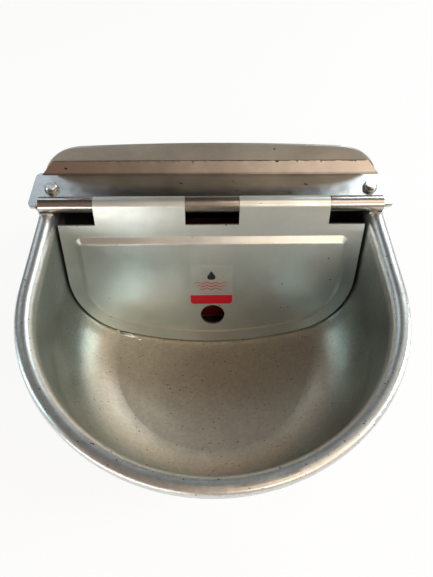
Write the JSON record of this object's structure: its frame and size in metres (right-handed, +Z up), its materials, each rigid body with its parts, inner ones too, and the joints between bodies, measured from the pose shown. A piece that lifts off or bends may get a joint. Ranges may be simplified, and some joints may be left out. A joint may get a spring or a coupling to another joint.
{
  "type": "livestock drinking bowl",
  "caption": "Wall-mounted galvanised drinking bowl for livestock, with a float valve behind a hinged guard flap.",
  "frame": {"origin": "centre of the four wall holes, on the rear face of the back plate", "axes": "+Z up, +Y into the wall, +X to the right as seen from the front"},
  "size_m": [0.3052, 0.2702, 0.1548],
  "materials": {
    "galvanised_bowl": "hot-dip galvanised, semi-gloss",
    "galvanised_plate": "hot-dip galvanised, fine spangle",
    "galvanised_guard": "hot-dip galvanised, smooth",
    "galvanised_fixings": "galvanised",
    "black_plastic": "moulded",
    "white_plastic": "moulded",
    "red_plastic": "moulded",
    "black_rubber": "matte",
    "brass": "turned",
    "stainless": "plain"
  },
  "bodies": {
    "bowl_unit": {"bowl": "galvanised_bowl", "back_plate": "galvanised_plate", "back_plate_rivets": "galvanised_fixings", "hinge_plate": "galvanised_plate", "hinge_plate_rivets": "galvanised_fixings", "hinge_pin": "galvanised_fixings", "valve_body": "black_plastic", "inlet_strainer": "white_plastic", "inner_gasket": "black_rubber", "outer_washer": "black_rubber", "lock_nut": "brass", "valve_seat": "brass", "plunger_guide": "black_plastic", "arm_pivot_pin": "stainless", "pivot_clip": "stainless"},
    "guard": {"float_guard": "galvanised_guard"},
    "float_lever": {"float_arm": "black_plastic", "float_block": "red_plastic", "float_screws": "stainless", "level_screw": "brass", "level_lock_nut": "brass"},
    "valve_plunger": {"plunger": "white_plastic", "plunger_seal": "black_rubber"}
  },
  "joints": [
    {"name": "guard_hinge", "type": "hinge", "parent": "bowl_unit", "child": "guard", "pos_m": [0, -0.04785, 0.0484], "axis": [-1, 0, 0], "range_deg": [0, 170]},
    {"name": "float_arm_pivot", "type": "hinge", "parent": "bowl_unit", "child": "float_lever", "pos_m": [-0.088, -0.0415, 0.0015], "axis": [0, -1, 0], "range_deg": [0, 8.5]},
    {"name": "plunger_slide", "type": "slide", "parent": "bowl_unit", "child": "valve_plunger", "axis": [-1, 0, 0], "range_m": [0, 0.0021]}
  ],
  "couplings": [
    {"joint": "plunger_slide", "follows": "float_arm_pivot", "m_per_rad": 0.014}
  ]
}
